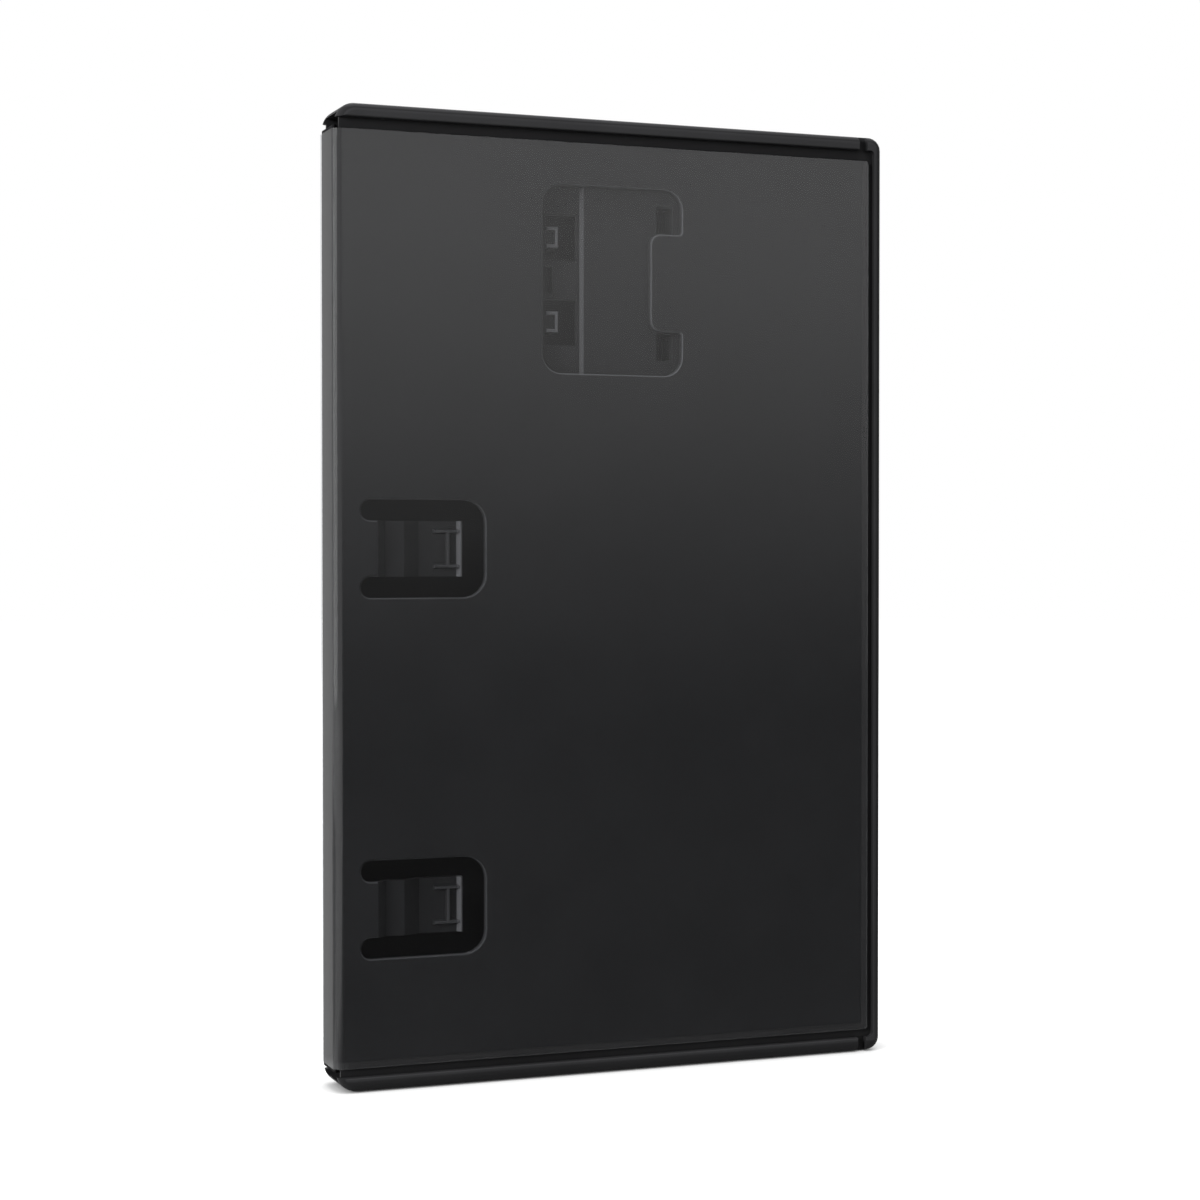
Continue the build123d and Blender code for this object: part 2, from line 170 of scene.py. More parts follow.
# Lamps: name, place, width, height, brightness, shown in the gloss
LAMPS = (
    ("left_lamp", (-1.05, -0.06, 0.35), 1.1, 0.9, 2.1, True),
    ("key_lamp", (-0.98, -0.4, 0.45), 0.4, 0.4, 34.0, False),
    ("top_lamp", (-0.1, -0.18, 1.15), 0.5, 0.4, 24.0, False),
    ("back_lamp", (0.6, 1.0, 0.7), 0.6, 0.6, 12.0, False),
)
LAMP_TARGET = Vector((0.0, 0.0, 0.085))

SENSOR_WIDTH = 36.0
CLIP_RANGE = (0.01, 20.0)


class CasePlasticSettings(bpy.types.PropertyGroup):
    """Finish of the black mouldings, with its painted sheen and painted highlights."""

    colour: FloatVectorProperty(
        name="Plastic colour",
        description="Colour of the moulded polypropylene",
        subtype="COLOR",
        size=3,
        min=0.0,
        max=1.0,
        default=(0.0128, 0.0128, 0.0134),
    )
    roughness: FloatProperty(
        name="Roughness",
        description="Mean roughness of the moulded surface",
        subtype="FACTOR",
        min=0.0,
        max=1.0,
        default=0.48,
    )
    gloss: FloatProperty(
        name="Gloss",
        description="Strength of the plastic's own reflection where it is bare",
        subtype="FACTOR",
        min=0.0,
        max=1.0,
        default=0.06,
    )
    # Painted highlight: the tongue tips are painted lighter, standing in for the light
    # they catch
    tip_highlight: FloatProperty(
        name="Tip lightness",
        description="How much lighter the tips of the spring tongues are painted, as a highlight",
        min=1.0,
        default=4.5,
    )
    # Painted sheen: the proud border and the top are painted lighter, standing in for the
    # light they catch
    border_sheen: FloatProperty(
        name="Painted border sheen",
        description="How much lighter the outer border is painted than the rest, as a sheen",
        min=1.0,
        default=2.1,
    )
    # Painted highlights: the rounded edges of the openings below the film are painted
    # lighter, standing in for the light they catch
    edge_highlight: FloatProperty(
        name="Edge lightness",
        description="How much lighter the rounded edges of the clip windows are",
        min=1.0,
        default=2.2,
    )
    holder_edge_highlight: FloatProperty(
        name="Holder edge lightness",
        description="How much lighter the rounded edge round the card holder is",
        min=1.0,
        default=3.6,
    )
    inner_edge_highlight: FloatProperty(
        name="Inner edge lightness",
        description="How much lighter the bevel across the card holder is",
        min=1.0,
        default=2.8,
    )
    # Painted highlights: the hook ribs and the tongue pads are painted lighter, standing
    # in for the light they catch
    rib_highlight: FloatProperty(
        name="Rib lightness",
        description="How much lighter the ribs of the card hooks are painted, as a highlight",
        min=1.0,
        default=7.0,
    )
    pad_highlight: FloatProperty(
        name="Pad lightness",
        description="How much lighter the small ribs on the spring tongues are",
        min=1.0,
        default=2.4,
    )
    grain_size: FloatProperty(
        name="Grain size",
        description="Width of one bump of the mould's fine grain",
        unit="LENGTH",
        default=0.12 * MM,
    )
    grain_depth: FloatProperty(
        name="Grain depth",
        description="Height of the mould's fine grain",
        unit="LENGTH",
        default=0.0003 * MM,
    )


class CaseFilmSettings(bpy.types.PropertyGroup):
    """Sizes and finish of the clear film and of the hinge webs below it."""

    corner_round: FloatProperty(
        name="Corner radius",
        description="Corners of the film at the opening edge",
        unit="LENGTH",
        default=0.6 * MM,
    )
    weld_width: FloatProperty(
        name="Weld width",
        description="Width of the seam that is welded to the cover",
        unit="LENGTH",
        default=1.2 * MM,
    )
    web_thick: FloatProperty(
        name="Hinge web",
        description="Thickness of each living hinge",
        unit="LENGTH",
        default=0.4 * MM,
    )
    fold_steps: IntProperty(
        name="Fold steps",
        description="Faces round each quarter turn",
        min=4,
        default=16,
    )
    corner_steps: IntProperty(
        name="Corner steps",
        description="Faces round each rounded corner",
        min=4,
        default=12,
    )
    tint: FloatVectorProperty(
        name="Film tint",
        description="What the film lets through",
        subtype="COLOR",
        size=3,
        min=0.0,
        max=1.0,
        default=(0.96, 0.965, 0.97),
    )
    haze: FloatProperty(
        name="Haze",
        description="Share of the light that the film scatters",
        subtype="FACTOR",
        min=0.0,
        max=1.0,
        default=0.0025,
    )
    ripple_size: FloatProperty(
        name="Ripple size",
        description="Length of the slow waves in the stretched film",
        unit="LENGTH",
        default=38.0 * MM,
    )
    ripple_depth: FloatProperty(
        name="Ripple depth",
        description="Height of the slow waves in the stretched film",
        unit="LENGTH",
        default=0.005 * MM,
    )


class CaseStageSettings(bpy.types.PropertyGroup):
    """Camera, floor, screens and lamps."""

    azimuth: FloatProperty(
        name="Camera azimuth",
        description="Camera's bearing round the case, from the front",
        subtype="ANGLE",
        default=math.radians(-21.49),
    )
    elevation: FloatProperty(
        name="Camera elevation",
        description="Camera's height above the middle of the case, as an angle",
        subtype="ANGLE",
        default=math.radians(1.028),
    )
    distance: FloatProperty(
        name="Camera distance",
        description="From the middle of the case to the camera",
        unit="LENGTH",
        default=448.33 * MM,
    )
    focal: FloatProperty(
        name="Focal length",
        description="Focal length in millimetres on a 36 mm sensor",
        default=74.4,
    )
    offset_right: FloatProperty(
        name="Offset right",
        description="The case lies this many pixels right of the middle",
        default=8.78,
    )
    offset_up: FloatProperty(
        name="Offset up",
        description="The case lies this many pixels above the middle",
        default=3.56,
    )
    floor_radius: FloatProperty(
        name="Floor radius",
        description="Radius of the pale floor",
        unit="LENGTH",
        default=3.0,
    )
    ambient: FloatProperty(
        name="Ambient light",
        description="Brightness of the white surroundings as a light",
        min=0.0,
        default=0.2,
    )
    screen_start: FloatProperty(
        name="Screen start",
        description="From the front cover to the near edge of the screen on the floor",
        unit="LENGTH",
        default=0.001,
    )
    screen_distance: FloatProperty(
        name="Screen distance",
        description="From the case to the upright part of the screen",
        unit="LENGTH",
        default=0.9,
    )
    screen_height: FloatProperty(
        name="Screen height",
        description="Height of the upright part of the screen",
        unit="LENGTH",
        default=0.6,
    )
    screen_left: FloatProperty(
        name="Screen left",
        description="Left edge of the screen, from the middle of the case",
        unit="LENGTH",
        default=-0.12,
    )
    screen_right: FloatProperty(
        name="Screen right",
        description="Right edge of the screen, from the middle of the case",
        unit="LENGTH",
        default=2.6,
    )
    screen_low: FloatProperty(
        name="Screen dark end",
        description="Brightness of the part of the screen on the floor",
        min=0.0,
        default=0.08,
    )
    screen_high: FloatProperty(
        name="Screen light end",
        description="Brightness of the top of the screen",
        min=0.0,
        default=1.5,
    )
    back_level: FloatProperty(
        name="Back screen",
        description="Brightness of the screen behind the case",
        min=0.0,
        default=0.6,
    )
    back_width: FloatProperty(
        name="Back screen width",
        description="From the middle of the screen behind the case to each end",
        unit="LENGTH",
        default=0.5,
    )


class Graph:
    """Adds nodes to a node tree and links them."""

    def __init__(self, tree):
        self.tree = tree

    def add(self, kind, inputs=None, **settings):
        """A new node. A value in inputs is a socket to link or a plain value."""
        node = self.tree.nodes.new(kind)
        for name, value in settings.items():
            setattr(node, name, value)
        for key, value in (inputs or {}).items():
            if isinstance(value, bpy.types.NodeSocket):
                self.tree.links.new(value, node.inputs[key])
            else:
                node.inputs[key].default_value = value
        return node

    def math(self, operation, *values):
        """The result of a Math node."""
        node = self.add("ShaderNodeMath", dict(enumerate(values)), operation=operation)
        return node.outputs[0]

    def vector(self, x, y, z):
        """A vector from three numbers."""
        node = self.add("ShaderNodeCombineXYZ", {"X": x, "Y": y, "Z": z})
        return node.outputs[0]

    def ramp(self, value, low, high, to_low, to_high):
        """A smooth change from to_low to to_high while value goes from low to high."""
        node = self.add(
            "ShaderNodeMapRange",
            {
                "Value": value,
                "From Min": low,
                "From Max": high,
                "To Min": to_low,
                "To Max": to_high,
            },
            interpolation_type="SMOOTHSTEP",
        )
        return node.outputs["Result"]


def new_material(name):
    """An empty node material: (material, graph)."""
    material = bpy.data.materials.new(name)
    material.use_nodes = True
    material.node_tree.nodes.clear()
    return material, Graph(material.node_tree)


def set_surface(graph, shader):
    """Links a shader to the material's output."""
    graph.add("ShaderNodeOutputMaterial", {"Surface": shader})


def place_of(graph):
    """Object coordinates, which are the case's own metres."""
    return graph.add("ShaderNodeTexCoord").outputs["Object"]


def noise(graph, place, size, detail=2.0):
    """Noise from 0 to 1 whose lumps are about size across."""
    node = graph.add(
        "ShaderNodeTexNoise", {"Vector": place, "Scale": 1.0 / size, "Detail": detail}
    )
    return node.outputs[0]


def tongue_mask(graph, across, depth, height):
    """1 on the spring tongues of the front cover, else 0."""
    start, end = (CAD_BOX[0].y + step for step in TONGUE_SUNK)
    sunk = graph.ramp(depth, start, end, 0.0, 1.0)
    outer = graph.math("LESS_THAN", depth, FRONT_HALF)
    beside = graph.math("COMPARE", across, TONGUE_X, TONGUE_HALF)
    rows = [graph.math("COMPARE", height, z, TONGUE_HALF) for z in TONGUE_HEIGHTS]
    inside = graph.math("MULTIPLY", graph.math("MAXIMUM", *rows), beside)
    return graph.math("MULTIPLY", graph.math("MULTIPLY", sunk, outer), inside)


def box_mask(graph, place, box):
    """1 inside a box, which is given by its middle and half its size, else 0."""
    mask = 1.0
    for value, middle, half in zip(place, *box):
        mask = graph.math("MULTIPLY", graph.math("COMPARE", value, middle, half), mask)
    return mask


def edge_mask(graph, across, level, height):
    """1 on slanted faces below the film, away from the fold and the foot, where edge
    highlights are painted; else 0.
    """
    normal = graph.add("ShaderNodeTexCoord").outputs["Normal"]
    facing = graph.add("ShaderNodeSeparateXYZ", {0: normal}).outputs[1]
    tilt = graph.math("ABSOLUTE", facing)
    slanted = graph.math(
        "MULTIPLY",
        graph.ramp(tilt, *TILT_FLAT, 0.0, 1.0),
        graph.ramp(tilt, *TILT_UPRIGHT, 0.0, 1.0),
    )
    within = (
        graph.math("LESS_THAN", level, CAD_BOX[1].y - FILM_ROOM),
        graph.math("GREATER_THAN", across, FOLD_X + FOLD_GAP),
        graph.math("LESS_THAN", across, FILM_END),
        graph.math("GREATER_THAN", height, FILM_FOOT),
    )
    for place in within:
        slanted = graph.math("MULTIPLY", slanted, place)
    return slanted


def painted_sheen_mask(graph, level, height):
    """1 on the border and over the top, but not near the foot, where a sheen is painted;
    else 0.
    """
    start, end = (CAD_BOX[1].y - step for step in SHEEN_FACE)
    proud = graph.ramp(level, start, end, 0.0, 1.0)
    start, end = (CAD_BOX[1].z - step for step in SHEEN_TOP)
    top_sheen = graph.ramp(height, start, end, 0.0, 1.0)
    raised = graph.ramp(height, *SHEEN_FOOT, 0.0, 1.0)
    return graph.math("MULTIPLY", graph.math("MAXIMUM", proud, top_sheen), raised)


def lightness(graph, place, settings):
    """How many times lighter than its base colour the plastic is painted at a place, as
    painted sheen and painted highlights.
    """
    across, depth, height = place
    level = graph.math("ABSOLUTE", depth)
    # Painted sheen on the proud border and over the top, not near the foot
    border_sheen = painted_sheen_mask(graph, level, height)
    tongue = tongue_mask(graph, across, depth, height)
    tip = graph.math("MULTIPLY", tongue, graph.math("GREATER_THAN", across, TIP_X))
    light = graph.math("MULTIPLY_ADD", border_sheen, settings.border_sheen - 1.0, 1.0)
    # Painted highlights on the tongue tips, the hook ribs and the tongue pads
    light = graph.math("MULTIPLY_ADD", tip, settings.tip_highlight - 1.0, light)
    ribs = box_mask(graph, place, RIB_BOX)
    light = graph.math("MULTIPLY_ADD", ribs, settings.rib_highlight - 1.0, light)
    for box in PAD_BOXES:
        pads = box_mask(graph, place, box)
        light = graph.math("MULTIPLY_ADD", pads, settings.pad_highlight - 1.0, light)

    # Painted highlights on the edges of the openings, except those of the tongues
    edge = edge_mask(graph, across, level, height)
    edge = graph.math("MULTIPLY", edge, graph.math("SUBTRACT", 1.0, tongue))
    outline = graph.ramp(
        height, *HOLDER_START, settings.edge_highlight, settings.holder_edge_highlight
    )
    start, end = (CAD_BOX[1].y - step for step in INNER_EDGE)
    edge_highlight = graph.ramp(level, start, end, outline, settings.inner_edge_highlight)
    more = graph.math("SUBTRACT", edge_highlight, 1.0)
    return graph.math("MULTIPLY_ADD", edge, more, light)


def moulded_plastic(name, settings, gloss):
    """Black polypropylene with the fine grain of its mould.

    The border that stands proud of the film is painted lighter as a sheen, up over
    the top but not under the foot. The tips and ribs of the spring tongues, the ribs
    of the card hooks and the edges of the openings below the film get painted highlights.
    """
    material, graph = new_material(name)
    place = place_of(graph)
    grain = noise(graph, place, settings.grain_size)
    cloud = noise(graph, place, CLOUD_SIZE)
    spot = graph.add("ShaderNodeSeparateXYZ", {0: place}).outputs[:]
    shade = graph.math(
        "MULTIPLY",
        graph.ramp(cloud, *NOISE_SPAN, *CLOUD_SHADE),
        lightness(graph, spot, settings),
    )
    colour = graph.add(
        "ShaderNodeVectorMath",
        {0: tuple(settings.colour), "Scale": shade},
        operation="SCALE",
    )
    spread = graph.math("ADD", graph.math("MULTIPLY", grain, GRAIN_SHARE), cloud)
    low, high = settings.roughness - ROUGH_SPREAD, settings.roughness + ROUGH_SPREAD
    roughness = graph.ramp(spread, *SPREAD_SPAN, low, high)
    bump = graph.add(
        "ShaderNodeBump",
        {"Height": grain, "Distance": settings.grain_depth, "Strength": 1.0},
    )
    shader = graph.add(
        "ShaderNodeBsdfPrincipled",
        {
            "Base Color": colour.outputs[0],
            "Roughness": roughness,
            "Normal": bump.outputs[0],
            "Specular IOR Level": gloss,
            "IOR": PLASTIC_IOR,
        },
    )
    set_surface(graph, shader.outputs[0])
    return material


def film_outside(settings):
    """Outer face of the film: clear, with a sharp gloss and a hazy weld seam."""
    material, graph = new_material("clear_film_gloss")
    ripple = noise(graph, place_of(graph), settings.ripple_size, RIPPLE_DETAIL)
    bump = graph.add(
        "ShaderNodeBump", {"Height": ripple, "Distance": settings.ripple_depth}
    ).outputs[0]
    film_map = graph.add("ShaderNodeUVMap", uv_map=FILM_MAP).outputs[0]
    flat = graph.add("ShaderNodeSeparateXYZ", {0: film_map}).outputs
    seam_x = FILM_END - settings.weld_width
    seam_z = FILM_FOOT + settings.weld_width
    side_seam = graph.ramp(flat[0], seam_x - SEAM_SOFT, seam_x + SEAM_SOFT, 0.0, 1.0)
    foot_seam = graph.ramp(flat[1], seam_z + SEAM_SOFT, seam_z - SEAM_SOFT, 0.0, 1.0)
    seam = graph.math("MAXIMUM", side_seam, foot_seam)
    clear = graph.add("ShaderNodeBsdfTransparent", {"Color": (*settings.tint, 1.0)})
    haze = graph.add("ShaderNodeBsdfDiffuse", {"Color": HAZE_COLOUR})
    haze_share = graph.math("MULTIPLY_ADD", seam, SEAM_HAZE, settings.haze)
    body = graph.add(
        "ShaderNodeMixShader",
        {0: haze_share, 1: clear.outputs[0], 2: haze.outputs[0]},
    )
    gloss = graph.add(
        "ShaderNodeBsdfGlossy",
        {"Roughness": graph.ramp(seam, 0.0, 1.0, *FILM_ROUGHNESS), "Normal": bump},
    )
    fresnel = graph.add("ShaderNodeFresnel", {"IOR": FILM_IOR, "Normal": bump})
    inward = graph.add("ShaderNodeNewGeometry").outputs["Backfacing"]
    share = graph.math(
        "MULTIPLY", fresnel.outputs[0], graph.math("SUBTRACT", 1.0, inward)
    )
    shader = graph.add(
        "ShaderNodeMixShader", {0: share, 1: body.outputs[0], 2: gloss.outputs[0]}
    )
    set_surface(graph, shader.outputs[0])
    return material


def film_inside(settings):
    """Face of the film towards the case, which only lets light through."""
    material, graph = new_material("clear_film_back")
    clear = graph.add("ShaderNodeBsdfTransparent", {"Color": (*settings.tint, 1.0)})
    set_surface(graph, clear.outputs[0])
    return material


def film_cut(settings):
    """Cut edge of the film, which catches the light."""
    material, graph = new_material("clear_film_cut_edge")
    speck = noise(graph, place_of(graph), CUT_SPECK)
    clear = graph.add("ShaderNodeBsdfTransparent", {"Color": (*settings.tint, 1.0)})
    frost = graph.add(
        "ShaderNodeBsdfPrincipled",
        {"Base Color": CUT_COLOUR, "Roughness": CUT_ROUGHNESS},
    )
    shader = graph.add(
        "ShaderNodeMixShader",
        {
            0: graph.ramp(speck, *NOISE_SPAN, *CUT_SHARE),
            1: clear.outputs[0],
            2: frost.outputs[0],
        },
    )
    set_surface(graph, shader.outputs[0])
    return material


STRIP_SIZES = (
    "Fold Radius",
    "Thickness",
    "Cover Run",
    "Corner Round",
    "Foot",
    "Top",
    "Fold X",
    "Fold Y",
    "Side",
)
STRIP_COUNTS = ("Fold Steps", "Corner Steps")
STRIP_FINISHES = ("Outside", "Inside", "Cut Edge")
JOIN_DISTANCE = 0.002 * MM


def strip_inputs(tree):
    """Names the inputs and the output of the strip's tree."""
    kinds = (
        (STRIP_SIZES, "NodeSocketFloat"),
        (STRIP_COUNTS, "NodeSocketInt"),
        (STRIP_FINISHES, "NodeSocketMaterial"),
    )
    for names, kind in kinds:
        for name in names:
            tree.interface.new_socket(name, in_out="INPUT", socket_type=kind)
    tree.interface.new_socket(
        "Geometry", in_out="OUTPUT", socket_type="NodeSocketGeometry"
    )


def strip_path(graph, size):
    """Section of the strip: half of the spine, the fold, the cover and its corner."""
    side, fold_x, fold_y = size["Side"], size["Fold X"], size["Fold Y"]
    face_y = graph.math("ADD", fold_y, size["Fold Radius"])
    spine_x = graph.math("SUBTRACT", fold_x, size["Fold Radius"])
    turn_only = graph.math("COMPARE", size["Cover Run"], 0.0, JOIN_DISTANCE)
    spine_y = graph.math("MULTIPLY", fold_y, turn_only)
    end_x = graph.math("ADD", fold_x, size["Cover Run"])
    corner_x = graph.math("SUBTRACT", end_x, size["Corner Round"])

    def point(x, y):
        return graph.vector(x, graph.math("MULTIPLY", y, side), size["Foot"])

    def run(start, end, count):
        line = graph.add(
            "GeometryNodeCurvePrimitiveLine", {"Start": start, "End": end}
        ).outputs[0]
        return graph.add(
            "GeometryNodeResampleCurve", {"Curve": line, "Count": count}
        ).outputs[0]

    arc = graph.add(
        "GeometryNodeCurveArc",
        {
            "Resolution": size["Fold Steps"],
            "Radius": size["Fold Radius"],
            "Start Angle": math.pi,
            "Sweep Angle": graph.math("MULTIPLY", side, -math.pi / 2),
        },
    ).outputs[0]
    fold = graph.add(
        "GeometryNodeTransform",
        {"Geometry": arc, "Translation": point(fold_x, fold_y)},
    ).outputs[0]
    parts = (
        run(point(spine_x, spine_y), point(spine_x, fold_y), 2),
        fold,
        run(point(fold_x, face_y), point(corner_x, face_y), 2),
        run(point(corner_x, face_y), point(end_x, face_y), size["Corner Steps"]),
    )
    path = graph.add("GeometryNodeJoinGeometry")
    for part in parts:
        graph.tree.links.new(part, path.inputs[0])
    return path.outputs[0], corner_x


def strip_tree():
    """Geometry nodes of a strip that runs from the middle of the spine to a cover.

    Fold Radius is the inside of the strip. A strip with no Cover Run is only
    the quarter turn, as a hinge web is.
    """
    tree = bpy.data.node_groups.new("bent_strip", "GeometryNodeTree")
    strip_inputs(tree)
    graph = Graph(tree)
    size = graph.add("NodeGroupInput").outputs
    side, fold_x, fold_y = size["Side"], size["Fold X"], size["Fold Y"]
    path, corner_x = strip_path(graph, size)

    # The section is carried up from the foot to the top
    wire = graph.add("GeometryNodeCurveToMesh", {"Curve": path}).outputs[0]
    rise = graph.math("SUBTRACT", size["Top"], size["Foot"])
    upright = graph.add(
        "GeometryNodeExtrudeMesh",
        {"Mesh": wire, "Offset": graph.vector(0.0, 0.0, rise), "Offset Scale": 1.0},
        mode="EDGES",
    ).outputs["Mesh"]
    sheet = graph.add(
        "GeometryNodeMergeByDistance",
        {"Geometry": upright, "Distance": JOIN_DISTANCE},
    ).outputs[0]

    # Its corners at the opening edge are rounded
    position = graph.add("GeometryNodeInputPosition").outputs[0]
    x, y, z = graph.add("ShaderNodeSeparateXYZ", {0: position}).outputs
    radius = size["Corner Round"]
    past = graph.math("MAXIMUM", graph.math("SUBTRACT", x, corner_x), 0.0)
    square = graph.math(
        "SUBTRACT",
        graph.math("MULTIPLY", radius, radius),
        graph.math("MULTIPLY", past, past),
    )
    drop = graph.math(
        "SUBTRACT", radius, graph.math("SQRT", graph.math("MAXIMUM", square, 0.0))
    )
    kept = graph.math(
        "SUBTRACT", 1.0, graph.math("DIVIDE", drop, graph.math("MULTIPLY", rise, 0.5))
    )
    middle = graph.math("MULTIPLY", graph.math("ADD", size["Foot"], size["Top"]), 0.5)
    new_z = graph.math("MULTIPLY_ADD", graph.math("SUBTRACT", z, middle), kept, middle)
    rounded = graph.add(
        "GeometryNodeSetPosition",
        {"Geometry": sheet, "Position": graph.vector(x, y, new_z)},
    ).outputs[0]

    # It gets its thickness away from the case
    away_x = graph.math("MINIMUM", graph.math("SUBTRACT", x, fold_x), 0.0)
    height = graph.math("SUBTRACT", graph.math("ABSOLUTE", y), fold_y)
    away_y = graph.math("MULTIPLY", graph.math("MAXIMUM", height, 0.0), side)
    away = graph.add(
        "ShaderNodeVectorMath",
        {0: graph.vector(away_x, away_y, 0.0)},
        operation="NORMALIZE",
    ).outputs[0]
    skin = graph.add(
        "GeometryNodeExtrudeMesh",
        {"Mesh": rounded, "Offset": away, "Offset Scale": size["Thickness"]},
        mode="FACES",
    )
    skin.inputs["Individual"].default_value = False

    # Each face gets its finish; the joint in the middle of the spine stays clear
    at_joint = graph.math("COMPARE", y, 0.0, JOIN_DISTANCE)
    joint = graph.math("MULTIPLY", skin.outputs["Side"], at_joint)
    solid = graph.add("GeometryNodeJoinGeometry")
    inner = graph.add(
        "GeometryNodeSetMaterial",
        {"Geometry": rounded, "Material": size["Inside"]},
    )
    outer = graph.add(
        "GeometryNodeSetMaterial",
        {"Geometry": skin.outputs["Mesh"], "Material": size["Outside"]},
    )
    edged = graph.add(
        "GeometryNodeSetMaterial",
        {
            "Geometry": outer.outputs[0],
            "Selection": skin.outputs["Side"],
            "Material": size["Cut Edge"],
        },
    )
    jointed = graph.add(
        "GeometryNodeSetMaterial",
        {
            "Geometry": edged.outputs[0],
            "Selection": joint,
            "Material": size["Inside"],
        },
    )
    for part in (inner, jointed):
        tree.links.new(part.outputs[0], solid.inputs[0])
    closed = graph.add(
        "GeometryNodeMergeByDistance",
        {"Geometry": solid.outputs[0], "Distance": JOIN_DISTANCE},
    ).outputs[0]
    mapped = graph.add(
        "GeometryNodeStoreNamedAttribute",
        {"Geometry": closed, "Name": FILM_MAP, "Value": graph.vector(x, z, 0.0)},
        data_type="FLOAT2",
        domain="CORNER",
    ).outputs[0]
    real = graph.add("GeometryNodeRealizeInstances", {"Geometry": mapped}).outputs[0]
    graph.add("NodeGroupOutput", {"Geometry": real})
    return tree


def make_strip(name, values):
    """A closed strip as a plain mesh, from values for the tree's named inputs."""
    tree = bpy.data.node_groups.get("bent_strip") or strip_tree()
    piece = bpy.data.objects.new(name, bpy.data.meshes.new(name))
    bpy.context.scene.collection.objects.link(piece)
    modifier = piece.modifiers.new("strip", "NODES")
    modifier.node_group = tree
    for item in tree.interface.items_tree:
        if item.in_out == "INPUT":
            modifier[item.identifier] = values[item.name]
    shaped = piece.evaluated_get(bpy.context.evaluated_depsgraph_get())
    mesh = bpy.data.meshes.new_from_object(shaped)
    piece.modifiers.clear()
    piece.data = mesh
    if not mesh.polygons:
        raise RuntimeError(f"{name} came out empty")
    shell = bmesh.new()
    shell.from_mesh(mesh)
    bmesh.ops.recalc_face_normals(shell, faces=shell.faces)
    shell.to_mesh(mesh)
    shell.free()
    mesh.shade_smooth()
    mesh.set_sharp_from_angle(angle=SHARP_ANGLE)
    mesh.update()
    return piece


def bend_with_cover(piece):
    """Bakes the strip's placement into its mesh."""
    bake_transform(piece)


COVERS = (("front", -1.0), ("back", 1.0))


class CASE_OT_mouldings(bpy.types.Operator):
    """Give the covers and the spine the finish of moulded black plastic, with its painted
    sheen and highlights
    """

    bl_idname = "case.mouldings"
    bl_label = "Finish Mouldings"

    def execute(self, context):
        settings = context.scene.case_plastic
        bare = moulded_plastic("moulded_black_plastic", settings, settings.gloss)
        covered = moulded_plastic("covered_black_plastic", settings, 0.0)
        for name in RIGID_NODES:
            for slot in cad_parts[name].material_slots:
                slot.material = covered if name == "spine" else bare
        return {"FINISHED"}


class CASE_OT_hinge_webs(bpy.types.Operator):
    """Make the two living hinges, which bend between the spine and the covers"""

    bl_idname = "case.hinge_webs"
    bl_label = "Make Hinge Webs"

    def execute(self, context):
        settings = context.scene.case_film
        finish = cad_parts["spine"].material_slots[0].material
        for cover, side in COVERS:
            values = {
                "Fold Radius": WEB_FOLD - settings.web_thick,
                "Thickness": settings.web_thick,
                "Cover Run": 0.0,
                "Corner Round": 0.0,
                "Foot": FILM_FOOT,
                "Top": FILM_TOP,
                "Fold X": FOLD_X,
                "Fold Y": FOLD_Y,
                "Side": side,
                "Fold Steps": settings.fold_steps + 1,
                "Corner Steps": 2,
                "Outside": finish,
                "Inside": finish,
                "Cut Edge": finish,
            }
            web = make_strip(f"{cover}_living_hinge", values)
            bend_with_cover(web)
            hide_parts(f"{cover}_hinge_web")
        return {"FINISHED"}


class CASE_OT_film(bpy.types.Operator):
    """Make the clear film that is wrapped round the covers and the spine"""

    bl_idname = "case.film"
    bl_label = "Make Film Sleeve"

    def execute(self, context):
        settings = context.scene.case_film
        outside = film_outside(settings)
        inside = film_inside(settings)
        cut_edge = film_cut(settings)
        for cover, side in COVERS:
            values = {
                "Fold Radius": FILM_FOLD - FILM_THICK,
                "Thickness": FILM_THICK,
                "Cover Run": FILM_END - FOLD_X,
                "Corner Round": settings.corner_round,
                "Foot": FILM_FOOT,
                "Top": FILM_TOP,
                "Fold X": FOLD_X,
                "Fold Y": FOLD_Y,
                "Side": side,
                "Fold Steps": settings.fold_steps + 1,
                "Corner Steps": settings.corner_steps + 1,
                "Outside": outside,
                "Inside": inside,
                "Cut Edge": cut_edge,
            }
            film = make_strip(f"{cover}_film", values)
            bend_with_cover(film)
            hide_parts(f"sleeve_{cover}", "sleeve_spine")
        return {"FINISHED"}


def seen_directly(graph):
    """1 for rays from the camera, a reflection or a clear surface, else 0."""
    path = graph.add("ShaderNodeLightPath").outputs
    seen = graph.math("MAXIMUM", path["Is Camera Ray"], path["Is Glossy Ray"])
    return graph.math("MAXIMUM", seen, path["Is Transmission Ray"])


def white_world(settings):
    """White surroundings, which light the case at a lower level than they look."""
    world = bpy.data.worlds.new("white_surroundings")
    world.use_nodes = True
    world.node_tree.nodes.clear()
    graph = Graph(world.node_tree)
    strength = graph.add(
        "ShaderNodeMapRange",
        {"Value": seen_directly(graph), "To Min": settings.ambient, "To Max": 1.0},
    )
    light = graph.add(
        "ShaderNodeBackground",
        {"Color": (1.0, 1.0, 1.0, 1.0), "Strength": strength.outputs[0]},
    )
    graph.add("ShaderNodeOutputWorld", {"Surface": light.outputs[0]})
    return world


